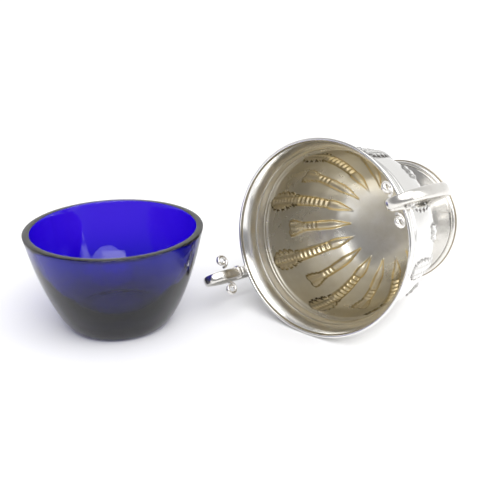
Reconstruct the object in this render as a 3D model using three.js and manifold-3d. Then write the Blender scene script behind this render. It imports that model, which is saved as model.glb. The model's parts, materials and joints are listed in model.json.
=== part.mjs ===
// Footed silver sugar bowl with two high scroll handles and a loose cobalt glass liner.
// The bowl lies on its side beside its liner, resting on its lip and on the edge of its foot.
// Millimetres, +Z up. The bowl is built standing on its foot and then laid down.
import * as THREE from 'three';
import { mergeVertices } from 'three/addons/utils/BufferGeometryUtils.js';
import Module from 'manifold-3d';

// Driving dimensions of the silver bowl
const MOUTH_RADIUS = 45;
const BOWL_HEIGHT = 80;
const LIP_FLARE = 4.7;
const SILVER_GAUGE = 0.9;
const LIP_HEIGHT = 16;
const FOOT_HEIGHT = 15;
const NECK_HEIGHT = 7;
const BELLY_POWER = 2.2;

// Driving dimensions of the foot
const FOOT_RADIUS = 32;
const WAIST_RADIUS = 18;
const FLANGE_WIDTH = 2;
const RING_HEIGHT = 3.2;
const RING_WIDTH = 3.6;

// Driving dimensions of the two handles
const HANDLE_RISE = 21;
const HANDLE_REACH = 15;
const HANDLE_DROP = 28;
const STRAP_WIDTH = 5.4;
const STRAP_THICKNESS = 2;
const STRAP_CREST_WIDTH_SHARE = 0.8;
const BLOCK_HEIGHT = 6;
const BLOCK_THICKNESS = 2.6;
const COLLAR_HEIGHT = 1.6;
const COLLAR_OVERHANG = 0.7;
const SCROLL_WIRE = 1.4;
const SCROLL_RADIUS = 3.1;
const SCROLL_TURNS = 1.15;

// Driving dimensions of the glass liner
const LINER_HEIGHT = 47;
const LINER_BASE_RADIUS = 21;
const LINER_WALL = 3.2;
const LINER_BASE_THICKNESS = 6;
const LINER_CLEARANCE = 0.5;
const LINER_BELOW_LIP = 5;

// Where the liner stands, seen from under the middle of the mouth
const LINER_HEADING = THREE.MathUtils.degToRad(56.55);
const LINER_STAND_OFF = 6.9;

// Solder gap left between neighbouring silver pieces, and the heading of the handles
const JOINT_GAP = 0.3;
const HANDLE_HEADING = THREE.MathUtils.degToRad(122.5);

// Fineness of the round shapes
const ROUND_STEPS = 48;
const CURVE_STEPS = 7;
const STRAP_STEPS = 28;
const SCROLL_STEPS = 14;
const WIRE_SIDES = 8;

const NECK_RADIUS = MOUTH_RADIUS - LIP_FLARE;
const BELLY_HEIGHT = BOWL_HEIGHT - LIP_HEIGHT - NECK_HEIGHT - FOOT_HEIGHT;
const WAIST_HEIGHT = FOOT_HEIGHT - FLANGE_WIDTH - JOINT_GAP;
// The lying bowl touches the surface with the part of its side that stands out most past its foot
const SIDE_SLOPE = Math.max(...bodyOutline().map((point) => (point.x - FOOT_RADIUS) / point.y));
const LIE_ANGLE = Math.PI / 2 - Math.atan(SIDE_SLOPE);
const LINER_RIM_RADIUS = lipRadius(LINER_BELOW_LIP) - SILVER_GAUGE - LINER_CLEARANCE;

function silver(color, roughness) {
  return new THREE.MeshStandardMaterial({ color, metalness: 1, roughness });
}

function polishedSilver() {
  return silver(0xe6e5e1, 0.2);
}

function wornSilver() {
  return silver(0xcfccc4, 0.3);
}

function cobaltGlass() {
  return new THREE.MeshStandardMaterial({ color: 0x0a0ab4, metalness: 0, roughness: 0.06 });
}

function piece(name, geometry, material) {
  const mesh = new THREE.Mesh(geometry, material);
  mesh.name = name;
  return mesh;
}

// Radius of the outside of the belly at a height, from a superellipse that closes on the axis
function bellyRadius(height) {
  const drop = Math.min(1, Math.max(0, (FOOT_HEIGHT + BELLY_HEIGHT - height) / BELLY_HEIGHT));
  return NECK_RADIUS * (1 - drop ** BELLY_POWER) ** (1 / BELLY_POWER);
}

// Height of the outside of the belly at a radius, on the same superellipse
function bellyHeight(radius) {
  const share = radius / NECK_RADIUS;
  return FOOT_HEIGHT + BELLY_HEIGHT * (1 - (1 - share ** BELLY_POWER) ** (1 / BELLY_POWER));
}

// Radius of the outside of the lip at a depth below its edge, on the curve that bodyOutline draws
function lipRadius(depth) {
  const share = 2 - Math.sqrt(1 + (3 * depth) / LIP_HEIGHT);
  return NECK_RADIUS + (MOUTH_RADIUS - NECK_RADIUS) * share ** 2;
}

// Outside of the body, from the middle of its bottom up to the edge of the lip
function bodyOutline() {
  const belly = [];
  for (let step = 0; step <= CURVE_STEPS; step += 1) {
    const turn = (step / CURVE_STEPS) * Math.PI / 2;
    const out = Math.sin(turn) ** (2 / BELLY_POWER);
    const drop = Math.cos(turn) ** (2 / BELLY_POWER);
    belly.push(new THREE.Vector2(NECK_RADIUS * out, FOOT_HEIGHT + BELLY_HEIGHT * (1 - drop)));
  }
  const lip = new THREE.QuadraticBezierCurve(
    new THREE.Vector2(NECK_RADIUS, BOWL_HEIGHT - LIP_HEIGHT),
    new THREE.Vector2(NECK_RADIUS, BOWL_HEIGHT - LIP_HEIGHT / 3),
    new THREE.Vector2(MOUTH_RADIUS, BOWL_HEIGHT),
  );
  return [...belly, ...lip.getPoints(CURVE_STEPS)];
}

// The same line set back by the gauge of the metal, towards the axis
function setBack(outline, gauge) {
  return outline.map((point, index) => {
    const before = outline[Math.max(0, index - 1)];
    const after = outline[Math.min(outline.length - 1, index + 1)];
    const along = after.clone().sub(before).normalize();
    const moved = point.clone().add(new THREE.Vector2(-along.y, along.x).multiplyScalar(gauge));
    return index === 0 ? new THREE.Vector2(0, point.y + gauge) : moved;
  });
}

function lathe(outline) {
  const geometry = new THREE.LatheGeometry(outline, ROUND_STEPS);
  geometry.rotateX(Math.PI / 2);
  return geometry;
}

function bowlBody() {
  const outside = bodyOutline();
  const inside = setBack(outside, SILVER_GAUGE);
  inside[inside.length - 1].y = BOWL_HEIGHT;
  return piece('bowl_body', lathe([...outside, ...inside.reverse()]), polishedSilver());
}

// Spun trumpet foot: a spreading skirt, a narrow waist and a flange that opens to the belly
function footOutline() {
  const skirtEdge = new THREE.Vector2(FOOT_RADIUS - RING_WIDTH * 0.6, RING_HEIGHT + JOINT_GAP);
  const waist = new THREE.Vector2(WAIST_RADIUS, WAIST_HEIGHT);
  const flangeRadius = WAIST_RADIUS + FLANGE_WIDTH;
  const flange = new THREE.Vector2(flangeRadius, bellyHeight(flangeRadius) - JOINT_GAP);
  const skirt = new THREE.CubicBezierCurve(
    skirtEdge,
    new THREE.Vector2(FOOT_RADIUS * 0.7, RING_HEIGHT + FLANGE_WIDTH),
    new THREE.Vector2(WAIST_RADIUS, (WAIST_HEIGHT + RING_HEIGHT) / 2 - FLANGE_WIDTH / 2),
    waist,
  );
  const neckPull = new THREE.Vector2(WAIST_RADIUS, (waist.y + flange.y) / 2);
  const neck = new THREE.QuadraticBezierCurve(waist, neckPull, flange);
  return [...skirt.getPoints(CURVE_STEPS), ...neck.getPoints(CURVE_STEPS).slice(1)];
}

function footPedestal() {
  const outside = footOutline();
  const inside = outside.map((point) => new THREE.Vector2(point.x - SILVER_GAUGE * 1.5, point.y));
  const underBelly = inside[inside.length - 1];
  underBelly.y = bellyHeight(underBelly.x) - JOINT_GAP;
  const loop = [...outside, ...inside.reverse(), outside[0].clone()];
  return piece('foot_pedestal', lathe(loop), polishedSilver());
}

// Moulded ring that the bowl stands on: a square base edge, a step and a rounded top
function footRing() {
  const inner = FOOT_RADIUS - RING_WIDTH;
  const base = RING_HEIGHT * 0.38;
  const step = RING_WIDTH * 0.16;
  const bead = new THREE.EllipseCurve(
    inner + (RING_WIDTH - step) / 2, base, (RING_WIDTH - step) / 2, RING_HEIGHT - base, 0, Math.PI,
  );
  const loop = [
    new THREE.Vector2(inner, 0),
    new THREE.Vector2(FOOT_RADIUS, 0),
    new THREE.Vector2(FOOT_RADIUS, base),
    ...bead.getPoints(CURVE_STEPS),
    new THREE.Vector2(inner, 0),
  ];
  return piece('foot_ring', lathe(loop), polishedSilver());
}

// Places on a handle are measured outwards from the axis and upwards from the foot
const BLOCK_INNER = MOUTH_RADIUS + JOINT_GAP;
const BLOCK_BOTTOM = BOWL_HEIGHT - BLOCK_HEIGHT * 0.5;
const BLOCK_TOP = BLOCK_BOTTOM + BLOCK_HEIGHT;
const COLLAR_TOP = BLOCK_TOP + COLLAR_HEIGHT;
const STRAP_ROOT = BLOCK_INNER + BLOCK_THICKNESS / 2;
const CREST_HEIGHT = BOWL_HEIGHT + HANDLE_RISE;

// Centre line of the strap: up from the collar, over a crest, out and back in to the belly
function strapPath() {
  const low = BOWL_HEIGHT - HANDLE_DROP;
  const bodyTouch = bellyRadius(low) + JOINT_GAP + STRAP_THICKNESS / 2;
  const reach = MOUTH_RADIUS + HANDLE_REACH;
  const rise = CREST_HEIGHT - COLLAR_TOP;
  return new THREE.CatmullRomCurve3([
    new THREE.Vector3(STRAP_ROOT, 0, COLLAR_TOP + JOINT_GAP),
    new THREE.Vector3(STRAP_ROOT - HANDLE_REACH * 0.07, 0, COLLAR_TOP + rise * 0.6),
    new THREE.Vector3(STRAP_ROOT + HANDLE_REACH * 0.2, 0, CREST_HEIGHT),
    new THREE.Vector3(reach - HANDLE_REACH * 0.2, 0, CREST_HEIGHT - rise * 0.28),
    new THREE.Vector3(reach, 0, BOWL_HEIGHT),
    new THREE.Vector3(reach - HANDLE_REACH * 0.22, 0, BOWL_HEIGHT - HANDLE_DROP * 0.6),
    new THREE.Vector3(bodyTouch + STRAP_THICKNESS, 0, low + STRAP_THICKNESS / 2),
    new THREE.Vector3(bodyTouch, 0, low - STRAP_THICKNESS),
  ]);
}

// Flat oval section with its width across the handle and its thickness in the handle's plane
function strapSection() {
  const section = new THREE.Shape();
  section.absellipse(0, 0, STRAP_WIDTH / 2, STRAP_THICKNESS / 2, 0, Math.PI * 2);
  return section;
}

// The strap is narrowest at its crest and widens evenly down both legs
function handleStrap(name) {
  const geometry = new THREE.ExtrudeGeometry(strapSection(), {
    steps: STRAP_STEPS,
    curveSegments: WIRE_SIDES / 2,
    extrudePath: strapPath(),
  });
  const corners = geometry.getAttribute('position');
  const legLength = CREST_HEIGHT - COLLAR_TOP;
  for (let index = 0; index < corners.count; index += 1) {
    const down = Math.min(1, Math.max(0, (CREST_HEIGHT - corners.getZ(index)) / legLength));
    const width = STRAP_CREST_WIDTH_SHARE + (1 - STRAP_CREST_WIDTH_SHARE) * down;
    corners.setY(index, corners.getY(index) * width);
  }
  return piece(name, geometry, polishedSilver());
}

function box(wide, deep, high, centre) {
  const geometry = new THREE.BoxGeometry(wide, deep, high);
  geometry.translate(centre.x, centre.y, centre.z);
  return geometry;
}

const manifold = await Module();
manifold.setup();

function solidOf(geometry) {
  const bare = geometry.clone();
  bare.deleteAttribute('normal');
  bare.deleteAttribute('uv');
  const merged = mergeVertices(bare);
  return new manifold.Manifold(new manifold.Mesh({
    numProp: 3,
    vertProperties: merged.getAttribute('position').array,
    triVerts: new Uint32Array(merged.index.array),
  }));
}

function geometryOf(solid) {
  const mesh = solid.getMesh();
  const geometry = new THREE.BufferGeometry();
  geometry.setAttribute('position', new THREE.BufferAttribute(mesh.vertProperties, mesh.numProp));
  geometry.setIndex(new THREE.BufferAttribute(mesh.triVerts, 1));
  geometry.computeVertexNormals();
  return geometry;
}

// Block soldered to the outside of the lip, with the collar that the strap rises from
function handleBlock(name) {
  const blockCentre = new THREE.Vector3(STRAP_ROOT, 0, (BLOCK_BOTTOM + BLOCK_TOP) / 2);
  const collarCentre = new THREE.Vector3(
    STRAP_ROOT + COLLAR_OVERHANG, 0, BLOCK_TOP + COLLAR_HEIGHT / 2 - JOINT_GAP / 2,
  );
  const block = box(BLOCK_THICKNESS, STRAP_WIDTH * 0.8, BLOCK_HEIGHT, blockCentre);
  const collar = box(
    BLOCK_THICKNESS + COLLAR_OVERHANG * 2,
    STRAP_WIDTH + COLLAR_OVERHANG * 2,
    COLLAR_HEIGHT - JOINT_GAP,
    collarCentre,
  );
  return piece(name, geometryOf(solidOf(block).add(solidOf(collar))), wornSilver());
}

// Volute of round wire beside the rising leg of the strap, curling in to its own middle
function handleScroll(name, side) {
  const centreAside = STRAP_WIDTH / 2 + JOINT_GAP + SCROLL_WIRE / 2 + SCROLL_RADIUS;
  const centreHeight = COLLAR_TOP + (CREST_HEIGHT - COLLAR_TOP) * 0.52;
  const points = [];
  for (let step = 0; step <= SCROLL_STEPS; step += 1) {
    const share = step / SCROLL_STEPS;
    const turn = Math.PI + share * SCROLL_TURNS * Math.PI * 2;
    const radius = SCROLL_RADIUS * (1 - 0.62 * share);
    points.push(new THREE.Vector3(
      STRAP_ROOT,
      side * (centreAside + radius * Math.cos(turn)),
      centreHeight + radius * 1.15 * Math.sin(turn),
    ));
  }
  const section = new THREE.Shape();
  section.absarc(0, 0, SCROLL_WIRE / 2, 0, Math.PI * 2);
  const geometry = new THREE.ExtrudeGeometry(section, {
    steps: SCROLL_STEPS,
    curveSegments: WIRE_SIDES / 2,
    extrudePath: new THREE.CatmullRomCurve3(points),
  });
  return piece(name, geometry, wornSilver());
}

function handle(label, heading) {
  const group = new THREE.Group();
  group.add(
    handleBlock(`handle_${label}_block`),
    handleStrap(`handle_${label}_strap`),
    handleScroll(`handle_${label}_scroll_left`, 1),
    handleScroll(`handle_${label}_scroll_right`, -1),
  );
  group.rotation.z = heading;
  return group;
}

// Standing bowl: foot on the surface, axis on Z
function silverBowl() {
  const group = new THREE.Group();
  group.add(
    bowlBody(),
    footPedestal(),
    footRing(),
    handle('a', HANDLE_HEADING),
    handle('b', HANDLE_HEADING + Math.PI),
  );
  return group;
}

// The bowl tips over the edge of its foot until its side meets the surface, here at the lip
function lyingBowl() {
  const tip = new THREE.Group();
  const standing = silverBowl();
  standing.position.x = FOOT_RADIUS;
  tip.rotation.y = -LIE_ANGLE;
  tip.add(standing);
  return tip;
}

// Outside of the liner: a flat base, a round heel and a wall that leans out to the rim
function linerOutline() {
  const wall = new THREE.CubicBezierCurve(
    new THREE.Vector2(LINER_BASE_RADIUS, 0),
    new THREE.Vector2(LINER_BASE_RADIUS + (LINER_RIM_RADIUS - LINER_BASE_RADIUS) * 0.3, 0),
    new THREE.Vector2(LINER_RIM_RADIUS - (LINER_RIM_RADIUS - LINER_BASE_RADIUS) * 0.22, LINER_HEIGHT * 0.5),
    new THREE.Vector2(LINER_RIM_RADIUS, LINER_HEIGHT),
  );
  return wall.getPoints(CURVE_STEPS);
}

function glassLiner() {
  const outside = linerOutline();
  const innerBase = LINER_BASE_RADIUS - LINER_WALL;
  const innerRim = LINER_RIM_RADIUS - LINER_WALL;
  const inside = new THREE.CubicBezierCurve(
    new THREE.Vector2(innerRim, LINER_HEIGHT),
    new THREE.Vector2(innerRim - (innerRim - innerBase) * 0.22, LINER_HEIGHT * 0.5),
    new THREE.Vector2(innerBase + (innerRim - innerBase) * 0.3, LINER_BASE_THICKNESS),
    new THREE.Vector2(innerBase * 0.5, LINER_BASE_THICKNESS),
  ).getPoints(CURVE_STEPS);
  const loop = [
    new THREE.Vector2(0, 0),
    ...outside,
    ...inside,
    new THREE.Vector2(0, LINER_BASE_THICKNESS),
  ];
  const liner = piece('glass_liner', lathe(loop), cobaltGlass());
  const mouthMiddle = FOOT_RADIUS * Math.cos(LIE_ANGLE) - BOWL_HEIGHT * Math.sin(LIE_ANGLE);
  const distance = MOUTH_RADIUS + LINER_RIM_RADIUS + LINER_STAND_OFF;
  liner.position.set(
    mouthMiddle - distance * Math.cos(LINER_HEADING), distance * Math.sin(LINER_HEADING), 0,
  );
  return liner;
}

// The origin is under the middle of the whole group, on the surface it stands on
function sugarBowl() {
  const group = new THREE.Group();
  group.name = 'silver_sugar_bowl';
  group.add(lyingBowl(), glassLiner());
  group.updateMatrixWorld(true);
  const bounds = new THREE.Box3().setFromObject(group, true);
  const middle = bounds.getCenter(new THREE.Vector3());
  group.position.set(-middle.x, -middle.y, -bounds.min.z);
  return group;
}

export default sugarBowl();
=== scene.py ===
import json
import math

import bmesh
import bpy
from mathutils import Matrix, Vector


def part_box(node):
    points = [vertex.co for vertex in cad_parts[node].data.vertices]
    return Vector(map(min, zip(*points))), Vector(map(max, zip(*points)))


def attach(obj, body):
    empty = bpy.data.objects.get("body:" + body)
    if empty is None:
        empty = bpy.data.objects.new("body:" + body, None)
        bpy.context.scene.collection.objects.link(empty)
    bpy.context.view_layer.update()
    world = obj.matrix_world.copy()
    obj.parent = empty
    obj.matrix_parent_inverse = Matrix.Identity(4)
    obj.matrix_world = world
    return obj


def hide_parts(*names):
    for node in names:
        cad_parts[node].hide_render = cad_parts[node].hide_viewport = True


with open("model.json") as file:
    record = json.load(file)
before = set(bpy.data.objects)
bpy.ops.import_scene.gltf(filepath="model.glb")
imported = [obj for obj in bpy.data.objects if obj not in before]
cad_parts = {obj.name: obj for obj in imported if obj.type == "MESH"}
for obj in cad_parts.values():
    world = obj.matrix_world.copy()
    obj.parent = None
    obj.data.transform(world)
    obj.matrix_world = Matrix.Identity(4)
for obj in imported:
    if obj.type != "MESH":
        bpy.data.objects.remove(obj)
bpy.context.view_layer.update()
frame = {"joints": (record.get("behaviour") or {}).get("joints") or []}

# Silver sugar bowl lying on its lip beside its blue glass liner.
# Pieces are drawn standing on the foot, in millimetres, then laid down and brought to metres.
MM = 0.001
MERGE_DISTANCE = 0.002


def middle_and_half(node):
    low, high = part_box(node)
    return (low + high) / 2 / MM, (high - low) / 2 / MM


# Sizes taken from the frame
MOUTH_RADIUS = middle_and_half("bowl_body")[1].y
FOOT_RADIUS = middle_and_half("foot_ring")[1].y
LINER_MIDDLE, LINER_HALF = middle_and_half("glass_liner")
LINER_RADIUS = LINER_HALF.y
LINER_HEIGHT = LINER_HALF.z * 2
TIP = next(joint for joint in frame["joints"] if joint["name"] == "bowl_tip")
HINGE = Vector(TIP["pos_m"])
LIE_ANGLE = math.radians(TIP["range_deg"][1])

# Sizes of the bowl
BOWL_HEIGHT = 80
NECK_RADIUS = 40.3
GAUGE = 0.9
LIP_HEIGHT = 16
FOOT_HEIGHT = 15
BELLY_HEIGHT = 42
BELLY_POWER = 2.2
ROUND_STEPS = 368

# Sizes of the foot
WAIST_RADIUS = 18
WAIST_HEIGHT = 12.7
WAIST_LINE_HALF_WIDTH = 0.9
WAIST_LINE_STAND = 0.6
FLANGE_WIDTH = 2
RING_HEIGHT = 3.2
RING_WIDTH = 3.6

# Sizes of the handles
HANDLE_HEADINGS = {"a": math.radians(122.5), "b": math.radians(-57.5)}
HANDLE_RISE = 21
HANDLE_REACH = 15
HANDLE_DROP = 28
STRAP_WIDTH = 5.4
STRAP_THICKNESS = 2
BLOCK_HEIGHT = 6
BLOCK_THICKNESS = 2.6
BLOCK_BEVEL = 0.12
COLLAR_HEIGHT = 1.6
COLLAR_OVERHANG = 0.7
SCROLL_WIRE = 1.4
SCROLL_RADIUS = 3.1
SCROLL_TURNS = 1.15
JOINT_GAP = 0.3
BLOCK_INNER = MOUTH_RADIUS + JOINT_GAP
BLOCK_BOTTOM = BOWL_HEIGHT - BLOCK_HEIGHT / 2
BLOCK_TOP = BLOCK_BOTTOM + BLOCK_HEIGHT
COLLAR_TOP = BLOCK_TOP + COLLAR_HEIGHT
CREST_HEIGHT = BOWL_HEIGHT + HANDLE_RISE
STRAP_ROOT = BLOCK_INNER + BLOCK_THICKNESS / 2

# Sizes of the liner
LINER_BASE_RADIUS = 21
LINER_WALL = 3.2
LINER_BASE_THICKNESS = 6

LYING = (
    Matrix.Translation(HINGE)
    @ Matrix.Rotation(-LIE_ANGLE, 4, "Y")
    @ Matrix.Translation((FOOT_RADIUS * MM, 0, 0))
    @ Matrix.Scale(MM, 4)
)
STANDING_LINER = (
    Matrix.Translation((LINER_MIDDLE.x * MM, LINER_MIDDLE.y * MM, 0)) @ Matrix.Scale(MM, 4)
)


# ---------------------------------------------------------------- arithmetic in node trees

class Field:
    """A value in a node tree, which ordinary arithmetic builds on."""

    def __init__(self, tree, socket):
        self.tree = tree
        self.socket = socket

    def math(self, operation, *others):
        node = self.tree.nodes.new("ShaderNodeMath")
        node.operation = operation
        for slot, value in zip(node.inputs, (self, *others)):
            plug(self.tree, slot, value)
        return Field(self.tree, node.outputs[0])

    def __add__(self, other):
        return self.math("ADD", other)

    def __sub__(self, other):
        return self.math("SUBTRACT", other)

    def __mul__(self, other):
        return self.math("MULTIPLY", other)

    def __truediv__(self, other):
        return self.math("DIVIDE", other)

    def __neg__(self):
        return self.math("MULTIPLY", -1.0)

    __radd__ = __add__
    __rmul__ = __mul__

    def __rsub__(self, other):
        return self.math("MULTIPLY", -1.0).math("ADD", other)

    def size(self):
        return self.math("ABSOLUTE")

    def ramp(self, start, end):
        """0 at start, 1 at end, with soft ends."""
        node = self.tree.nodes.new("ShaderNodeMapRange")
        node.interpolation_type = "SMOOTHSTEP"
        for slot, value in zip(node.inputs[:3], (self, start, end)):
            plug(self.tree, slot, value)
        return Field(self.tree, node.outputs[0])

    def wave(self, pitch):
        """0 to 1 and back once in each pitch."""
        return (self * (2 * math.pi / pitch)).math("COSINE") * 0.5 + 0.5

    def within(self, low, high, soft):
        """1 between low and high, fading over soft."""
        return self.ramp(low - soft / 2, low + soft / 2) * self.ramp(high + soft / 2, high - soft / 2)


def plug(tree, slot, value):
    """Puts a field, another node's output or a plain value into a socket."""
    if isinstance(value, Field):
        tree.links.new(value.socket, slot)
    elif isinstance(value, bpy.types.NodeSocket):
        tree.links.new(value, slot)
    else:
        slot.default_value = value


def add_node(tree, kind, settings=None, **inputs):
    """A node with its settings, and inputs by name with underscores for spaces."""
    node = tree.nodes.new(kind)
    for name, value in (settings or {}).items():
        setattr(node, name, value)
    for name, value in inputs.items():
        plug(tree, node.inputs[name.replace("_", " ")], value)
    return node


# ---------------------------------------------------------------- pieces from node trees

def new_tree(name, **inputs):
    """An empty geometry tree with Geometry in and out and the named inputs."""
    tree = bpy.data.node_groups.new(name, "GeometryNodeTree")
    face = tree.interface
    face.new_socket("Geometry", in_out="INPUT", socket_type="NodeSocketGeometry")
    for label, kind in inputs.items():
        face.new_socket(label.replace("_", " "), in_out="INPUT", socket_type="NodeSocket" + kind)
    face.new_socket("Geometry", in_out="OUTPUT", socket_type="NodeSocketGeometry")
    return tree, tree.nodes.new("NodeGroupInput").outputs


def close_tree(tree, geometry, material):
    """Ends a tree in real geometry, shaded smooth, with its material."""
    smooth = add_node(tree, "GeometryNodeSetShadeSmooth", Geometry=geometry)
    real = add_node(tree, "GeometryNodeRealizeInstances", Geometry=smooth.outputs[0])
    painted = add_node(tree, "GeometryNodeSetMaterial", Geometry=real.outputs[0], Material=material)
    tree.links.new(painted.outputs[0], tree.nodes.new("NodeGroupOutput").inputs[0])
    return tree


def run_tree(source, tree, **values):
    """The mesh that a tree makes from a mesh, with the tree's inputs set by name."""
    carrier = bpy.data.objects.new("carrier", source)
    bpy.context.scene.collection.objects.link(carrier)
    modifier = carrier.modifiers.new("build", "NODES")
    modifier.node_group = tree
    for item in tree.interface.items_tree:
        key = item.name.replace(" ", "_")
        if item.in_out == "INPUT" and key in values:
            modifier[item.identifier] = values[key]
    carrier.update_tag()
    bpy.context.view_layer.update()
    made = bpy.data.meshes.new_from_object(
        carrier.evaluated_get(bpy.context.evaluated_depsgraph_get())
    )
    bpy.data.objects.remove(carrier)
    return made


def line_mesh(points, **attributes):
    """A chain of points joined by edges, with values kept on the points."""
    edges = [(index, index + 1) for index in range(len(points) - 1)]
    mesh = bpy.data.meshes.new("line")
    mesh.from_pydata([tuple(point) for point in points], edges, [])
    for name, values in attributes.items():
        mesh.attributes.new(name, "FLOAT", "POINT").data.foreach_set("value", values)
    return mesh


def stored(tree, name):
    """A number kept on the mesh, as a field."""
    node = add_node(tree, "GeometryNodeInputNamedAttribute", Name=name)
    return Field(tree, node.outputs["Attribute"])


def keep(tree, geometry, name, value):
    """Keeps a field on the points of a mesh under a name."""
    node = add_node(tree, "GeometryNodeStoreNamedAttribute", Geometry=geometry, Name=name, Value=value)
    return node.outputs[0]


def place_field(tree):
    """Position as three fields."""
    split = add_node(tree, "ShaderNodeSeparateXYZ",
                     Vector=tree.nodes.new("GeometryNodeInputPosition").outputs[0])
    return [Field(tree, socket) for socket in split.outputs]


def turning_tree(kept=()):
    """Turns an outline, drawn as radius and height, about the upright axis."""
    tree, given = new_tree("turned_on_the_axis", Round_Steps="Int", Material="Material")
    outline = given["Geometry"]
    rows = add_node(tree, "GeometryNodeAttributeDomainSize", Geometry=outline).outputs["Point Count"]
    around = Field(tree, given["Round Steps"]) + 1
    grid = add_node(tree, "GeometryNodeMeshGrid", Size_X=1.0, Size_Y=1.0,
                    Vertices_X=rows, Vertices_Y=around)
    across, along, _ = place_field(tree)
    row = ((across + 0.5) * (Field(tree, rows) - 1)).math("ROUND")
    turn = (along + 0.5) * (2 * math.pi)

    def from_outline(value, kind):
        sample = add_node(tree, "GeometryNodeSampleIndex", {"data_type": kind},
                          Geometry=outline, Value=value, Index=row)
        return sample.outputs[0]

    geometry = grid.outputs["Mesh"]
    for name in kept:
        value = stored(tree, name)
        geometry = keep(tree, geometry, name, Field(tree, from_outline(value, "FLOAT")))
    point = from_outline(tree.nodes.new("GeometryNodeInputPosition").outputs[0], "FLOAT_VECTOR")
    radius, _, height = add_node(tree, "ShaderNodeSeparateXYZ", Vector=point).outputs
    radius = Field(tree, radius)
    wrapped = add_node(tree, "ShaderNodeCombineXYZ", X=radius * turn.math("COSINE"),
                       Y=radius * turn.math("SINE"), Z=height)
    moved = add_node(tree, "GeometryNodeSetPosition", Geometry=geometry, Position=wrapped.outputs[0])
    merged = add_node(tree, "GeometryNodeMergeByDistance", Geometry=moved.outputs[0],
                      Distance=MERGE_DISTANCE)
    return close_tree(tree, merged.outputs[0], given["Material"])


def sweeping_tree():
    """Draws a flat oval section along a line in the XY plane, scaled by the line's own width."""
    tree, given = new_tree("swept_along_a_line", Width="Float", Thickness="Float", Sides="Int",
                           Material="Material")
    line = add_node(tree, "GeometryNodeMeshToCurve", Mesh=given["Geometry"])
    level = add_node(tree, "GeometryNodeSetCurveNormal", {"mode": "Z_UP"}, Curve=line.outputs[0])
    section = add_node(tree, "GeometryNodeCurvePrimitiveCircle", Resolution=given["Sides"], Radius=0.5)
    across, up, _ = place_field(tree)
    full = add_node(tree, "ShaderNodeCombineXYZ", X=across * Field(tree, given["Thickness"]),
                    Y=up * Field(tree, given["Width"]))
    shaped = add_node(tree, "GeometryNodeSetPosition", Geometry=section.outputs[0],
                      Position=full.outputs[0])
    sized = add_node(tree, "GeometryNodeSetCurveRadius", Curve=level.outputs[0],
                     Radius=stored(tree, "width"))
    tube = add_node(tree, "GeometryNodeCurveToMesh", Curve=sized.outputs[0],
                    Profile_Curve=shaped.outputs[0], Fill_Caps=True)
    if "Scale" in tube.inputs:
        plug(tree, tube.inputs["Scale"], stored(tree, "width"))
    return close_tree(tree, tube.outputs[0], given["Material"])


def face_outwards(mesh):
    """Makes the faces of a closed mesh point outwards."""
    shell = bmesh.new()
    shell.from_mesh(mesh)
    bmesh.ops.recalc_face_normals(shell, faces=shell.faces)
    shell.to_mesh(mesh)
    shell.free()


def finish_piece(name, mesh, place, body):
    """A finished piece at the origin, with its place in its mesh, standing for the CAD node."""
    mesh.transform(place)
    face_outwards(mesh)
    mesh.name = name
    for polygon in mesh.polygons:
        polygon.use_smooth = True
    piece = bpy.data.objects.new(name, mesh)
    bpy.context.scene.collection.objects.link(piece)
    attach(piece, body)
    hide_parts(name.removesuffix("_finished"))
    return piece


# ---------------------------------------------------------------- outlines

def belly_point(turn):
    """Radius and height of the outside of the belly, 0 at the bottom, a quarter turn at the neck."""
    out = math.sin(turn) ** (2 / BELLY_POWER)
    drop = math.cos(turn) ** (2 / BELLY_POWER)
    return Vector((NECK_RADIUS * out, FOOT_HEIGHT + BELLY_HEIGHT * (1 - drop)))


def curve_point(controls, share):
    """A point on a Bezier curve of any degree."""
    points = [Vector(control) for control in controls]
    while len(points) > 1:
        points = [a.lerp(b, share) for a, b in zip(points, points[1:])]
    return points[0]


def curve(controls, steps):
    return [curve_point(controls, step / steps) for step in range(steps + 1)]


def lengths_along(points):
    reached = [0.0]
    for a, b in zip(points, points[1:]):
        reached.append(reached[-1] + (b - a).length)
    return reached


def point_at(points, reached, length):
    """The point and direction at a length along a chain of points."""
    index = next((i for i, far in enumerate(reached) if far >= length), len(points) - 1)
    index = max(1, index)
    span = reached[index] - reached[index - 1]
    share = (length - reached[index - 1]) / span
    a, b = points[index - 1], points[index]
    return a.lerp(b, share), (b - a).normalized()


def outside_line():
    """Outside of the body from the middle of its bottom to the edge of the lip, drawn finely."""
    steps = 600
    belly = [belly_point(math.pi / 2 * step / steps) for step in range(steps + 1)]
    lip = curve([(NECK_RADIUS, BOWL_HEIGHT - LIP_HEIGHT), (NECK_RADIUS, BOWL_HEIGHT - LIP_HEIGHT / 3),
                 (MOUTH_RADIUS, BOWL_HEIGHT)], 60)
    return belly + lip


BODY_LINE = outside_line()
BODY_REACH = lengths_along(BODY_LINE)
BODY_LENGTH = BODY_REACH[-1]


def length_at_height(height):
    """Length along the outside, from the middle of the bottom, at a height."""
    return next(far for point, far in zip(BODY_LINE, BODY_REACH) if point.y >= height)


# Fine turned lines under the lip, by height, and how far they stand out
NECK_LINES = [(65.5, 0.25), (67.0, 0.42), (72.2, 0.2)]
NECK_LINE_HALF_WIDTH = 0.6
RIM_BEAD = 0.2
RIM_STEPS = 10
RIM_START = -40
RIM_SWEEP = 260


def row_lengths():
    """Where the rows of the body's mesh lie: coarse in plain metal, fine where it is worked."""
    marks = [0, 15, length_at_height(64.2), length_at_height(68.2), length_at_height(71.4),
             length_at_height(73), BODY_LENGTH - 0.8]
    counts = [5, 90, 14, 4, 5, 6]
    rows = []
    for start, end, count in zip(marks, marks[1:], counts):
        rows += [start + (end - start) * step / count for step in range(count)]
    return rows + [marks[-1]]


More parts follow.
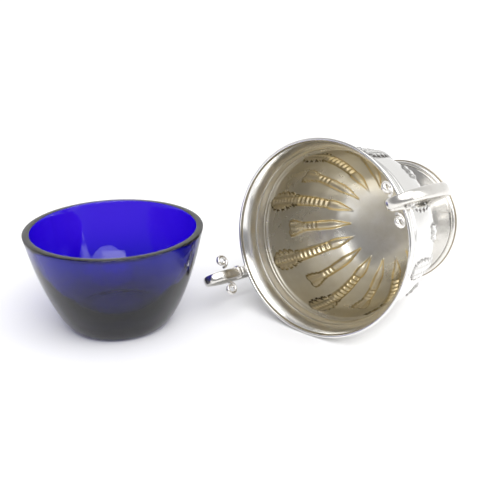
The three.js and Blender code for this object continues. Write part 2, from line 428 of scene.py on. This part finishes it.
def body_outline():
    """The body's closed outline with, on each point, its length along, outward way and wall."""
    outer, inner = [], []
    for length in row_lengths():
        point, along = point_at(BODY_LINE, BODY_REACH, length)
        outward = Vector((along.y, -along.x))
        for height, stand in NECK_LINES:
            near = 1 - abs(point.y - height) / NECK_LINE_HALF_WIDTH
            if near > 0:
                point = point + outward * stand * math.sin(near * math.pi / 2) ** 2
        outer.append((point, outward, length, 0.0))
        inner.append((point - outward * GAUGE, outward, length, 1.0))
    outer[0] = (Vector((0, FOOT_HEIGHT)), Vector((0, -1)), 0.0, 0.0)
    inner[0] = (Vector((0, FOOT_HEIGHT + GAUGE)), Vector((0, -1)), 0.0, 1.0)
    last, outward = outer[-1][0], outer[-1][1]
    up = Vector((-outward.y, outward.x))
    middle = last + up * 0.35 - outward * (GAUGE / 2 + 0.25)
    radius = GAUGE / 2 + RIM_BEAD
    rim = []
    for step in range(RIM_STEPS + 1):
        turn = math.radians(RIM_START + RIM_SWEEP * step / RIM_STEPS)
        rim.append((middle + radius * (outward * math.cos(turn) + up * math.sin(turn)),
                    outward, BODY_LENGTH, 0.0 if step <= RIM_STEPS / 2 else 1.0))
    return outer + rim + inner[::-1]


def foot_outline():
    """Closed outline of the spun foot: skirt, a fine turned line, waist, flange under the belly."""
    flange_radius = WAIST_RADIUS + FLANGE_WIDTH

    def under_belly(radius):
        share = radius / NECK_RADIUS
        return FOOT_HEIGHT + BELLY_HEIGHT * (1 - (1 - share ** BELLY_POWER) ** (1 / BELLY_POWER)) - 0.05

    edge = (FOOT_RADIUS - RING_WIDTH * 0.6, RING_HEIGHT)
    waist = (WAIST_RADIUS, WAIST_HEIGHT)
    flange = (flange_radius, under_belly(flange_radius))
    skirt = curve([edge, (FOOT_RADIUS * 0.7, RING_HEIGHT + FLANGE_WIDTH),
                   (WAIST_RADIUS, (WAIST_HEIGHT + RING_HEIGHT) / 2 - FLANGE_WIDTH / 2), waist], 28)
    neck = curve([waist, (WAIST_RADIUS, (waist[1] + flange[1]) / 2), flange], 10)[1:]
    line = skirt + neck
    beaded = []
    for point in line:
        near = 1 - abs(point.y - WAIST_HEIGHT) / WAIST_LINE_HALF_WIDTH
        stand = WAIST_LINE_STAND * math.sin(near * math.pi / 2) ** 2 if near > 0 else 0
        beaded.append(point + Vector((stand, 0)))
    wall = GAUGE * 1.5
    inside = [Vector((point.x - wall, point.y)) for point in line]
    inside[-1].y = under_belly(inside[-1].x)
    return beaded + inside[::-1]


def ring_outline():
    """Closed outline of the foot ring: square base, deep line, rounded bead and an inner fillet."""
    inner = FOOT_RADIUS - RING_WIDTH
    base = RING_HEIGHT * 0.36
    corner = 0.25
    points = [(inner, 0.1), (inner + 0.2, 0), (FOOT_RADIUS - corner, 0), (FOOT_RADIUS, corner),
              (FOOT_RADIUS, base - corner), (FOOT_RADIUS - corner, base),
              (FOOT_RADIUS - RING_WIDTH * 0.3, base + 0.02)]
    bead_middle = Vector((inner + RING_WIDTH * 0.5, base + 0.35))
    half_width = RING_WIDTH * 0.36
    half_height = RING_HEIGHT - base - 0.35
    for step in range(15):
        turn = math.radians(-12 + 192 * step / 14)
        points.append((bead_middle.x + half_width * math.cos(turn),
                       bead_middle.y + half_height * math.sin(turn)))
    points.append((inner, base))
    return [Vector(point) for point in points]


def liner_outline():
    """The liner's outline from the middle of its base, over the ground rim, to the inner bottom."""
    lean = LINER_RADIUS - LINER_BASE_RADIUS
    inner_rim = LINER_RADIUS - LINER_WALL
    inner_base = LINER_BASE_RADIUS - LINER_WALL
    base = [Vector((LINER_BASE_RADIUS * share, 0.5 - 0.5 * share)) for share in (0, 0.3, 0.6, 0.85)]
    outside = curve([(LINER_BASE_RADIUS, 0), (LINER_BASE_RADIUS + lean * 0.3, 0),
                     (LINER_RADIUS - lean * 0.22, LINER_HEIGHT * 0.5),
                     (LINER_RADIUS, LINER_HEIGHT - 0.4)], 40)
    edge = [Vector((LINER_RADIUS - 0.12, LINER_HEIGHT - 0.1)), Vector((LINER_RADIUS - 0.4, LINER_HEIGHT)),
            Vector((inner_rim + 0.4, LINER_HEIGHT)), Vector((inner_rim + 0.12, LINER_HEIGHT - 0.1))]
    drop = inner_rim - inner_base
    inside = curve([(inner_rim, LINER_HEIGHT - 0.4), (inner_rim - drop * 0.22, LINER_HEIGHT * 0.5),
                    (inner_base + drop * 0.3, LINER_BASE_THICKNESS),
                    (inner_base * 0.5, LINER_BASE_THICKNESS)], 40)
    bottom = [Vector((inner_base * share, LINER_BASE_THICKNESS)) for share in (0.35, 0.18, 0)]
    return base + outside + edge + inside + bottom


# ---------------------------------------------------------------- embossing

LEAF_COUNT = 8
LONG_START = 34.0
SHORT_START = 56.5
RELIEF = 1.15
SINK = 0.5

# Long ornament, by length up the wall: leaf, beaded stem and smooth flute
LEAF_TOP = length_at_height(63.2)
LEAF_FOOT = length_at_height(42.5)
STEM_FOOT = length_at_height(26.0)
FLUTE_END = 19.0
LEAF_HALF = 5.3
STEM_HALF = 2.9
BEAD_PITCH = 2.8
TOOTH_PITCH = 3.9

# Short ornament: tulip, a few beads and a smooth flute
TULIP_TOP = length_at_height(47.0)
TULIP_FOOT = length_at_height(36.5)
SHORT_STEM_FOOT = length_at_height(29.5)
TULIP_HALF = 4.3
SHORT_STEM_HALF = 2.3
SHORT_BEAD_PITCH = 2.5


def sideways(turn, radius, start):
    """Distance along the wall from the nearest ornament of a family, in millimetres."""
    period = 360 / LEAF_COUNT
    shifted = (turn - start + period / 2 + 720).math("FLOORED_MODULO", period) - period / 2
    return shifted * radius * (math.pi / 180)


def dome(aside, half):
    """A rounded hump across a width."""
    share = (aside / half).math("MINIMUM", 1.0)
    return (1 - share * share).math("MAXIMUM", 0.0).math("SQRT")


def long_ornament(aside, length):
    """Height, dark edge and gilding of a long leaf with its beaded stem and flute."""
    aside_size = aside.size()
    down = LEAF_TOP - length
    leaf_length = LEAF_TOP - LEAF_FOOT
    share = down / leaf_length
    swell = (share * 3.0).math("MINIMUM", 1.0)
    rounded = (1 - (1 - swell) * (1 - swell)).math("MAXIMUM", 0.0).math("SQRT")
    narrowing = 1 - 0.42 * share.ramp(0.5, 1.0)
    scallop = ((down + aside_size * 0.55) / TOOTH_PITCH).math("FRACT")
    lobe = (scallop * (1 - scallop) * 4).math("MAXIMUM", 0.0).math("SQRT")
    half = LEAF_HALF * rounded * narrowing * (0.66 + 0.34 * lobe)
    leaf_edge = (half - aside_size).ramp(0.0, 0.8)
    vein = (1 - lobe).ramp(0.35, 0.95) * aside_size.ramp(1.7, 2.6)
    spine = dome(aside_size, 1.5) * down.wave(2.45)
    hollow = aside_size.within(1.45, 2.15, 0.7)
    leaf = leaf_edge * (0.80 - 0.42 * vein + 0.45 * spine - 0.38 * hollow)
    in_leaf = down.within(-1.0, leaf_length, 0.8)

    stem_down = LEAF_FOOT - length
    stem_half = STEM_HALF - stem_down * 0.03
    stem_edge = (stem_half - aside_size).ramp(0.0, 0.7)
    bead = dome(aside_size, stem_half * 0.86) * stem_down.wave(BEAD_PITCH)
    stem = stem_edge * (0.42 + 0.62 * bead)
    in_stem = length.within(STEM_FOOT, LEAF_FOOT, 0.8)

    flute_share = (STEM_FOOT - length) / (STEM_FOOT - FLUTE_END)
    flute_half = 2.5 * (1 - flute_share.ramp(0.2, 1.05) * 0.85)
    flute = dome(aside_size, flute_half) * (1 - 0.45 * flute_share.ramp(0.3, 1.0))
    in_flute = length.within(FLUTE_END, STEM_FOOT, 0.9)

    height = leaf * in_leaf + stem * in_stem + flute * 0.85 * in_flute
    edge_band = (half - aside_size).within(-0.15, 0.55, 0.5)
    stem_band = (stem_half - aside_size).within(-0.1, 0.45, 0.5)
    flute_band = (flute_half - aside_size).within(-0.2, 0.5, 0.5)
    dark = (edge_band + (0.3 * hollow + 0.45 * vein) * leaf_edge) * in_leaf + 0.4 * stem_band * in_stem
    gilt = ((edge_band * 0.9 + leaf_edge * 0.35) * in_leaf
            + (stem_band + stem_edge * 0.55) * in_stem
            + (flute_band + 0.25) * in_flute * flute_half.ramp(0.2, 1)
            * (flute_half + 0.6 - aside_size).ramp(0.0, 0.5))
    return height, dark, gilt


def short_ornament(aside, length):
    """Height, dark edge and gilding of a tulip with its beads and flute."""
    aside_size = aside.size()
    down = TULIP_TOP - length
    tulip_length = TULIP_TOP - TULIP_FOOT
    share = down / tulip_length
    crown = aside_size.wave(TULIP_HALF) * 0.9
    half = TULIP_HALF * (1 - 0.42 * share.ramp(0.25, 1.0)) * (1 - 0.12 * (down / 2.6).math("FRACT"))
    inside = ((half - aside_size).math("MINIMUM", down - crown * 0.9))
    tulip_edge = inside.ramp(0.0, 0.7)
    petals = aside_size.wave(TULIP_HALF * 0.72)
    tulip = tulip_edge * (0.62 + 0.38 * petals)
    in_tulip = down.within(-0.4, tulip_length, 0.8)

    stem_half = SHORT_STEM_HALF
    stem_edge = (stem_half - aside_size).ramp(0.0, 0.7)
    bead = dome(aside_size, stem_half * 0.9) * (TULIP_FOOT - length).wave(SHORT_BEAD_PITCH)
    stem = stem_edge * (0.5 + 0.45 * bead)
    in_stem = length.within(SHORT_STEM_FOOT, TULIP_FOOT, 0.8)

    flute_share = (SHORT_STEM_FOOT - length) / (SHORT_STEM_FOOT - FLUTE_END)
    flute_half = 2.3 * (1 - flute_share.ramp(0.35, 1.05) * 0.85)
    flute = dome(aside_size, flute_half) * (1 - 0.45 * flute_share.ramp(0.4, 1.0))
    in_flute = length.within(FLUTE_END, SHORT_STEM_FOOT, 0.9)

    height = tulip * in_tulip + stem * in_stem + flute * 0.85 * in_flute
    edge_band = inside.within(-0.15, 0.5, 0.5)
    stem_band = (stem_half - aside_size).within(-0.1, 0.45, 0.5)
    flute_band = (flute_half - aside_size).within(-0.2, 0.5, 0.5)
    dark = edge_band * 0.6 * in_tulip + 0.25 * stem_band * in_stem
    gilt = ((edge_band + tulip_edge * 0.3) * in_tulip + (stem_band + stem_edge * 0.4) * in_stem
            + (flute_band * 0.8 + 0.2) * in_flute * (flute_half + 0.6 - aside_size).ramp(0.0, 0.5))
    return height, dark, gilt


def embossing_tree():
    """Pushes leaves, tulips and flutes out of the wall, both faces of the metal together."""
    tree, given = new_tree("embossed_ornament", Relief="Float", Sink="Float", First_Leaf="Float",
                           First_Tulip="Float", Material="Material")
    geometry = given["Geometry"]
    across, along, _ = place_field(tree)
    radius = (across * across + along * along).math("SQRT").math("MAXIMUM", 0.01)
    turn = along.math("ARCTAN2", across) * (180 / math.pi)
    length = stored(tree, "length")
    long_height, long_dark, long_gilt = long_ornament(
        sideways(turn, radius, Field(tree, given["First Leaf"])), length)
    short_height, short_dark, short_gilt = short_ornament(
        sideways(turn, radius, Field(tree, given["First Tulip"])), length)
    raised = long_height + short_height
    geometry = keep(tree, geometry, "raised", raised)
    geometry = keep(tree, geometry, "dark", (long_dark + short_dark).math("MINIMUM", 1.0))
    geometry = keep(tree, geometry, "gilt", (long_gilt + short_gilt).math("MINIMUM", 1.0))
    worked = length.ramp(24.0, 34.0) * length.ramp(length_at_height(65.0), LEAF_TOP)
    push = stored(tree, "raised") * Field(tree, given["Relief"]) - worked * Field(tree, given["Sink"])
    out = stored(tree, "out") * push / radius
    offset = add_node(tree, "ShaderNodeCombineXYZ", X=out * across, Y=out * along,
                      Z=stored(tree, "up") * push)
    moved = add_node(tree, "GeometryNodeSetPosition", Geometry=geometry, Offset=offset.outputs[0])
    return close_tree(tree, moved.outputs[0], given["Material"])


# ---------------------------------------------------------------- finishes

def new_finish(name):
    """A material with an empty node tree and a Principled shader."""
    material = bpy.data.materials.new(name)
    material.use_nodes = True
    tree = material.node_tree
    tree.nodes.clear()
    shader = tree.nodes.new("ShaderNodeBsdfPrincipled")
    output = tree.nodes.new("ShaderNodeOutputMaterial")
    tree.links.new(shader.outputs[0], output.inputs["Surface"])
    return material, tree, shader


def noise(tree, scale, detail=3.0, roughness=0.5, stretch=(1, 1, 1), turn=(0, 0, 0)):
    """Noise on the object's own coordinates."""
    place = tree.nodes.new("ShaderNodeTexCoord").outputs["Object"]
    mapped = add_node(tree, "ShaderNodeMapping", Vector=place, Scale=stretch, Rotation=turn)
    made = add_node(tree, "ShaderNodeTexNoise", Vector=mapped.outputs[0], Scale=scale,
                    Detail=detail, Roughness=roughness)
    return Field(tree, made.outputs["Fac"])


def blend(tree, share, first, second):
    """A colour between two colours."""
    mix = tree.nodes.new("ShaderNodeMix")
    mix.data_type = "RGBA"
    plug(tree, mix.inputs[0], share)
    plug(tree, mix.inputs[6], first)
    plug(tree, mix.inputs[7], second)
    return mix.outputs[2]


def surface_value(tree, name):
    """A number kept on the piece's own points."""
    node = tree.nodes.new("ShaderNodeAttribute")
    node.attribute_name = name
    return Field(tree, node.outputs["Fac"])


def uneven(tree, shader, height, distance, strength=1.0):
    """Bump from a height field, the distance in metres."""
    bump = add_node(tree, "ShaderNodeBump", Strength=strength, Distance=distance, Height=height)
    tree.links.new(bump.outputs[0], shader.inputs["Normal"])


SILVER = (0.83, 0.82, 0.795, 1)
WARM_SILVER = (0.67, 0.64, 0.565, 1)
GILT = (0.86, 0.66, 0.26, 1)
DARK_TARNISH = (0.045, 0.035, 0.028, 1)
BROWN_TARNISH = (0.30, 0.23, 0.13, 1)


def hammered(tree, scale=105.0):
    """The slow unevenness of raised metal with fine polishing scratches over it."""
    return noise(tree, scale, 1.0) + noise(tree, 900.0, 3.0, 0.6, (1, 1, 6)) * 0.035


def bowl_silver():
    """Polished outside, gilt-toned and tarnished inside, after the kept values of the mesh."""
    material, tree, shader = new_finish("embossed_silver")
    shader.inputs["Metallic"].default_value = 1.0
    inside = surface_value(tree, "wall") * surface_value(tree, "length").ramp(
        length_at_height(70.5), length_at_height(67.0))
    cloud = noise(tree, 55.0, 4.0, 0.6)
    grain = noise(tree, 420.0, 3.0, 0.7)
    warm = blend(tree, (inside * (0.55 + 0.6 * cloud.ramp(0.35, 0.7))).math("MINIMUM", 1.0),
                 SILVER, WARM_SILVER)
    gilt_share = (surface_value(tree, "gilt") * inside * (0.55 + 0.6 * cloud)).math("MINIMUM", 1.0)
    gilded = blend(tree, gilt_share, warm, GILT)
    dark = surface_value(tree, "dark")
    dark_share = (dark * (0.45 + 0.9 * noise(tree, 60.0, 2.0).ramp(0.35, 0.65))).math("MINIMUM", 0.96)
    dulled = blend(tree, dark_share, gilded, DARK_TARNISH)
    tree.links.new(dulled, shader.inputs["Base Color"])
    centre = surface_value(tree, "length").ramp(24.0, 6.0) * surface_value(tree, "wall")
    rough = (0.13 + 0.10 * cloud + inside * 0.10 + dark * 0.25 + centre * (0.10 + 0.25 * grain))
    tree.links.new(rough.socket, shader.inputs["Roughness"])
    uneven(tree, shader, hammered(tree) + centre * grain * 0.35, 0.00022)
    return material


def plain_silver(name, base, rough_low, dark_amount, tint=BROWN_TARNISH):
    """Silver of the spun and cast parts, dulled in patches and in hollows."""
    material, tree, shader = new_finish(name)
    shader.inputs["Metallic"].default_value = 1.0
    cloud = noise(tree, 130.0, 4.0, 0.6)
    speck = noise(tree, 700.0, 2.0, 0.6)
    patch = (cloud.ramp(0.5, 0.85) * dark_amount + surface_value(tree, "hollow") * 0.9).math("MINIMUM", 0.95)
    coloured = blend(tree, patch, base, tint)
    tree.links.new(coloured, shader.inputs["Base Color"])
    rough = rough_low + 0.14 * cloud + 0.08 * speck + patch * 0.2
    tree.links.new(rough.socket, shader.inputs["Roughness"])
    uneven(tree, shader, hammered(tree, 160.0), 0.00012)
    return material


def cobalt_glass():
    """Blown glass, clear on the surface and deep blue in the mass, with faint drawn lines."""
    material, tree, shader = new_finish("cobalt_glass")
    shader.inputs["Base Color"].default_value = (0.85, 0.85, 1.0, 1)
    shader.inputs["Transmission Weight"].default_value = 1.0
    shader.inputs["IOR"].default_value = 1.5
    shader.inputs["Specular IOR Level"].default_value = 0.12
    smudge = noise(tree, 60.0, 3.0)
    tree.links.new((0.015 + 0.05 * smudge.ramp(0.5, 0.8)).socket, shader.inputs["Roughness"])
    uneven(tree, shader, noise(tree, 45.0, 2.0, 0.5, (1, 1, 0.25)), 0.0004)
    absorb = add_node(tree, "ShaderNodeVolumeAbsorption", Color=(0.33, 0.0, 0.893, 1), Density=1500.0)
    output = next(node for node in tree.nodes if node.type == "OUTPUT_MATERIAL")
    tree.links.new(absorb.outputs[0], output.inputs["Volume"])
    return material


def ground_rim():
    """The flat ground rim of the liner: dull, grey-green over nearly black glass."""
    material, tree, shader = new_finish("ground_glass_rim")
    grind = noise(tree, 500.0, 3.0, 0.7)
    cloud = noise(tree, 50.0, 2.0)
    tint = blend(tree, (cloud * 0.6 + grind * 0.4).ramp(0.3, 0.75),
                 (0.012, 0.016, 0.018, 1), (0.085, 0.1, 0.1, 1))
    tree.links.new(tint, shader.inputs["Base Color"])
    tree.links.new((0.28 + 0.25 * grind).socket, shader.inputs["Roughness"])
    uneven(tree, shader, grind, 0.00006)
    return material


# ---------------------------------------------------------------- making the pieces

def make_body(finish):
    """The raised bowl: its outline turned, then embossed."""
    points = body_outline()
    outline = line_mesh(
        [(point.x, 0, point.y) for point, *_ in points],
        out=[outward.x for _, outward, _, _ in points],
        up=[outward.y for _, outward, _, _ in points],
        length=[length for _, _, length, _ in points],
        wall=[wall for _, _, _, wall in points],
    )
    shell = run_tree(outline, turning_tree(("out", "up", "length", "wall")),
                     Round_Steps=ROUND_STEPS, Material=finish)
    embossed = run_tree(shell, embossing_tree(), Relief=RELIEF, Sink=SINK,
                        First_Leaf=LONG_START, First_Tulip=SHORT_START, Material=finish)
    finish_piece("bowl_body_finished", embossed, LYING, "bowl")


def make_turned(node, outline, steps, finish, place=LYING, body="bowl",
                closed=True, hollow=None):
    """A turned piece from its outline; hollow says how dark the metal is at each outline point."""
    points = outline + [outline[0].copy()] if closed else outline
    line = line_mesh([(point.x, 0, point.y) for point in points],
                     hollow=[hollow(point) if hollow else 0.0 for point in points])
    mesh = run_tree(line, turning_tree(("hollow",)), Round_Steps=steps, Material=finish)
    return finish_piece(node + "_finished", mesh, place, body)


def handle_place(heading):
    """From the plane of a drawing, X outwards and Y up, to that handle on the bowl."""
    upright = Matrix.Rotation(math.pi / 2, 4, "X")
    return LYING @ Matrix.Rotation(heading, 4, "Z") @ upright


def smooth_through(points, steps):
    """A smooth line through points, as Catmull-Rom stretches."""
    points = [Vector(point) for point in points]
    padded = [points[0] * 2 - points[1], *points, points[-1] * 2 - points[-2]]
    line = []
    for a, b, c, d in zip(padded, padded[1:], padded[2:], padded[3:]):
        for step in range(steps):
            t = step / steps
            line.append(0.5 * ((2 * b) + (c - a) * t + (2 * a - 5 * b + 4 * c - d) * t * t
                               + (3 * b - a - 3 * c + d) * t ** 3))
    return line + [points[-1]]


def strap_line():
    """Centre line of a strap: from the collar over the crest, out, and back in to the belly."""
    low = BOWL_HEIGHT - HANDLE_DROP
    drop = (FOOT_HEIGHT + BELLY_HEIGHT - low) / BELLY_HEIGHT
    touch = NECK_RADIUS * (1 - drop ** BELLY_POWER) ** (1 / BELLY_POWER) + STRAP_THICKNESS / 2
    reach = MOUTH_RADIUS + HANDLE_REACH
    rise = CREST_HEIGHT - COLLAR_TOP
    return smooth_through([
        (STRAP_ROOT, COLLAR_TOP - 0.1),
        (STRAP_ROOT - HANDLE_REACH * 0.07, COLLAR_TOP + rise * 0.6),
        (STRAP_ROOT + HANDLE_REACH * 0.2, CREST_HEIGHT),
        (reach - HANDLE_REACH * 0.2, CREST_HEIGHT - rise * 0.28),
        (reach, BOWL_HEIGHT),
        (reach - HANDLE_REACH * 0.22, BOWL_HEIGHT - HANDLE_DROP * 0.6),
        (touch + STRAP_THICKNESS, low + STRAP_THICKNESS / 2),
        (touch, low - STRAP_THICKNESS),
    ], 16)


def make_strap(label, heading, finish):
    """Looped strap, narrowest at its crest."""
    line = strap_line()
    leg = CREST_HEIGHT - COLLAR_TOP
    widths = [0.8 + 0.2 * min(1, max(0, (CREST_HEIGHT - point.y) / leg)) for point in line]
    widths[-1] *= 0.75
    mesh = run_tree(line_mesh([(p.x, p.y, 0) for p in line], width=widths), sweeping_tree(),
                    Width=STRAP_WIDTH, Thickness=STRAP_THICKNESS, Sides=28, Material=finish)
    finish_piece(f"handle_{label}_strap_finished", mesh, handle_place(heading), "bowl")


def make_scroll(label, side, heading, finish):
    """Volute beside the rising leg: wire that swells at the outside and curls in to a button."""
    aside = STRAP_WIDTH / 2 + JOINT_GAP + SCROLL_WIRE / 2 + SCROLL_RADIUS
    height = COLLAR_TOP + (CREST_HEIGHT - COLLAR_TOP) * 0.52
    points, widths = [], []
    steps = 60
    for step in range(steps + 1):
        share = step / steps
        turn = math.pi + share * SCROLL_TURNS * math.tau
        radius = SCROLL_RADIUS * (1 - 0.62 * share)
        points.append((side * (aside + radius * math.cos(turn)), height + radius * 1.15 * math.sin(turn), 0))
        widths.append(0.85 + 0.3 * math.sin(math.pi * share) + 0.5 * max(0, share - 0.85) / 0.15)
    mesh = run_tree(line_mesh(points, width=widths), sweeping_tree(), Width=SCROLL_WIRE * 1.2,
                    Thickness=SCROLL_WIRE, Sides=16, Material=finish)
    across = Matrix(((0, 0, 1, STRAP_ROOT), (1, 0, 0, 0), (0, 1, 0, 0), (0, 0, 0, 1)))
    place = LYING @ Matrix.Rotation(heading, 4, "Z") @ across
    word = "left" if side > 0 else "right"
    finish_piece(f"handle_{label}_scroll_{word}_finished", mesh, place, "bowl")


def make_block(label, heading, finish):
    """Cast block and collar, built up as rounded rectangles of changing size."""
    half_deep = BLOCK_THICKNESS / 2
    half_wide = STRAP_WIDTH * 0.4
    collar = COLLAR_OVERHANG
    levels = [(BLOCK_BOTTOM, -0.35, 0), (BLOCK_BOTTOM + 0.35, 0, 0), (BLOCK_BOTTOM + 2.0, 0, 0),
              (BLOCK_BOTTOM + 2.3, -0.3, 1), (BLOCK_BOTTOM + 2.6, 0, 0), (BLOCK_TOP - 0.9, 0, 0),
              (BLOCK_TOP - 0.5, -0.35, 1), (BLOCK_TOP - 0.1, 0, 1),
              (BLOCK_TOP + 0.25, collar, 0.3), (COLLAR_TOP - 0.55, collar, 0),
              (COLLAR_TOP - 0.3, collar - 0.4, 0)]
    sides = 32
    vertices, faces, hollows = [], [], []
    for height, grow, hollow in levels:
        lean = max(0, grow)
        for side in range(sides):
            turn = math.tau * (side + 0.5) / sides
            x, y = math.cos(turn), math.sin(turn)
            square = (abs(x) ** 5 + abs(y) ** 5) ** (-1 / 5)
            vertices.append((STRAP_ROOT + lean + x * square * (half_deep + grow),
                             y * square * (half_wide + grow + (0.27 if grow > 0 else 0)), height))
            hollows.append(float(hollow))
    for level in range(len(levels) - 1):
        for side in range(sides):
            after = (side + 1) % sides
            faces.append((level * sides + side, level * sides + after,
                          (level + 1) * sides + after, (level + 1) * sides + side))
    faces.append(tuple(reversed(range(sides))))
    faces.append(tuple(range((len(levels) - 1) * sides, len(levels) * sides)))
    mesh = bpy.data.meshes.new("block")
    mesh.from_pydata(vertices, [], faces)
    mesh.attributes.new("hollow", "FLOAT", "POINT").data.foreach_set("value", hollows)
    mesh.materials.append(finish)
    piece = finish_piece(f"handle_{label}_block_finished", mesh,
                         LYING @ Matrix.Rotation(heading, 4, "Z"), "bowl")
    bevel = piece.modifiers.new("soft_edges", "BEVEL")
    bevel.width = BLOCK_BEVEL * MM
    bevel.segments = 2
    bevel.limit_method = "ANGLE"
    return piece


def make_liner(glass, rim):
    """The glass liner, with its flat top face in the ground finish."""
    piece = make_turned("glass_liner", liner_outline(), 160, glass, STANDING_LINER, "liner",
                        closed=False)
    piece.data.materials.append(rim)
    top = (LINER_HEIGHT - 0.05) * MM
    for polygon in piece.data.polygons:
        if all(piece.data.vertices[index].co.z > top - 0.1 * MM for index in polygon.vertices):
            polygon.material_index = 1


def make_handles(polished, worn):
    for label, heading in HANDLE_HEADINGS.items():
        make_block(label, heading, worn)
        make_strap(label, heading, polished)
        for side in (1, -1):
            make_scroll(label, side, heading, worn)


# ---------------------------------------------------------------- room

def make_floor():
    """Plain pale floor that runs out of view."""
    half = 6.0
    mesh = bpy.data.meshes.new("floor")
    mesh.from_pydata([(-half, -half, 0), (half, -half, 0), (half, half, 0), (-half, half, 0)], [],
                     [(0, 1, 2, 3)])
    floor = bpy.data.objects.new("floor", mesh)
    bpy.context.scene.collection.objects.link(floor)
    material, tree, shader = new_finish("pale_floor")
    tone = blend(tree, noise(tree, 3.0, 3.0), (0.955, 0.955, 0.955, 1), (0.975, 0.975, 0.975, 1))
    tree.links.new(tone, shader.inputs["Base Color"])
    shader.inputs["Roughness"].default_value = 0.7
    shader.inputs["Specular IOR Level"].default_value = 0.2
    mesh.materials.append(material)


def make_softbox(name, place, size, power, target=(0.02, 0.0, 0.04), colour=(1, 1, 1)):
    light = bpy.data.lights.new(name, "AREA")
    light.shape = "RECTANGLE"
    light.size, light.size_y = size
    light.energy = power
    light.color = colour
    lamp = bpy.data.objects.new(name, light)
    lamp.location = place
    way = Vector(target) - Vector(place)
    lamp.rotation_euler = way.to_track_quat("-Z", "Y").to_euler()
    bpy.context.scene.collection.objects.link(lamp)


def make_sun(power, spread, height, heading):
    """Large soft even light, so that the floor is equally bright everywhere."""
    light = bpy.data.lights.new("even_light", "SUN")
    light.energy = power
    light.angle = math.radians(spread)
    lamp = bpy.data.objects.new("even_light", light)
    lamp.rotation_euler = (math.radians(90 - height), 0, math.radians(heading))
    bpy.context.scene.collection.objects.link(lamp)


def make_world():
    """Pale room: brightest low down behind the object, dimmer overhead and behind the camera."""
    world = bpy.data.worlds.new("studio")
    bpy.context.scene.world = world
    world.use_nodes = True
    tree = world.node_tree
    tree.nodes.clear()
    place = tree.nodes.new("ShaderNodeTexCoord").outputs["Generated"]
    way = [Field(tree, socket) for socket in
           add_node(tree, "ShaderNodeSeparateXYZ", Vector=place).outputs]
    away = way[0] * 0.62 + way[1] * 0.5 - way[2] * 0.6
    tone = blend(tree, away.ramp(-0.75, 0.35), (0.30, 0.30, 0.31, 1), (0.95, 0.95, 0.95, 1))
    sky = add_node(tree, "ShaderNodeBackground", Color=tone, Strength=1.0)
    tree.links.new(sky.outputs[0], tree.nodes.new("ShaderNodeOutputWorld").inputs[0])


LENS = 52.5
CAMERA_PLACE = (-0.2424, -0.1899, 0.1573)
CAMERA_PITCH_DOWN = math.radians(21.33)
CAMERA_HEADING = math.radians(50.65)


def make_camera():
    """Camera held level and looking a little down."""
    data = bpy.data.cameras.new("camera")
    data.lens = LENS
    data.sensor_width = 36
    data.clip_start = 0.01
    data.clip_end = 50
    camera = bpy.data.objects.new("camera", data)
    camera.location = CAMERA_PLACE
    camera.rotation_euler = (math.pi / 2 - CAMERA_PITCH_DOWN, 0, -CAMERA_HEADING)
    bpy.context.scene.collection.objects.link(camera)
    bpy.context.scene.camera = camera


bpy.context.scene.view_settings.view_transform = "Standard"
make_camera()
make_world()
make_floor()
make_sun(2.1, 70, 60, -20)
make_softbox("key_softbox", (-0.45, -0.55, 0.75), (0.7, 0.5), 2.6)
make_softbox("side_softbox", (0.35, -0.8, 0.45), (0.5, 0.6), 2.0)

POLISHED = plain_silver("polished_silver", (0.76, 0.74, 0.70, 1), 0.12, 0.22)
CAST = plain_silver("cast_silver", (0.84, 0.82, 0.79, 1), 0.16, 0.45, (0.10, 0.085, 0.065, 1))
make_body(bowl_silver())
make_turned("foot_pedestal", foot_outline(), 192, POLISHED)
make_turned("foot_ring", ring_outline(), 256, POLISHED,
            hollow=lambda p: 1.0 if abs(p.y - RING_HEIGHT * 0.36) < 0.25 and p.x < FOOT_RADIUS - 0.2 else 0.0)
make_handles(POLISHED, CAST)
make_liner(cobalt_glass(), ground_rim())
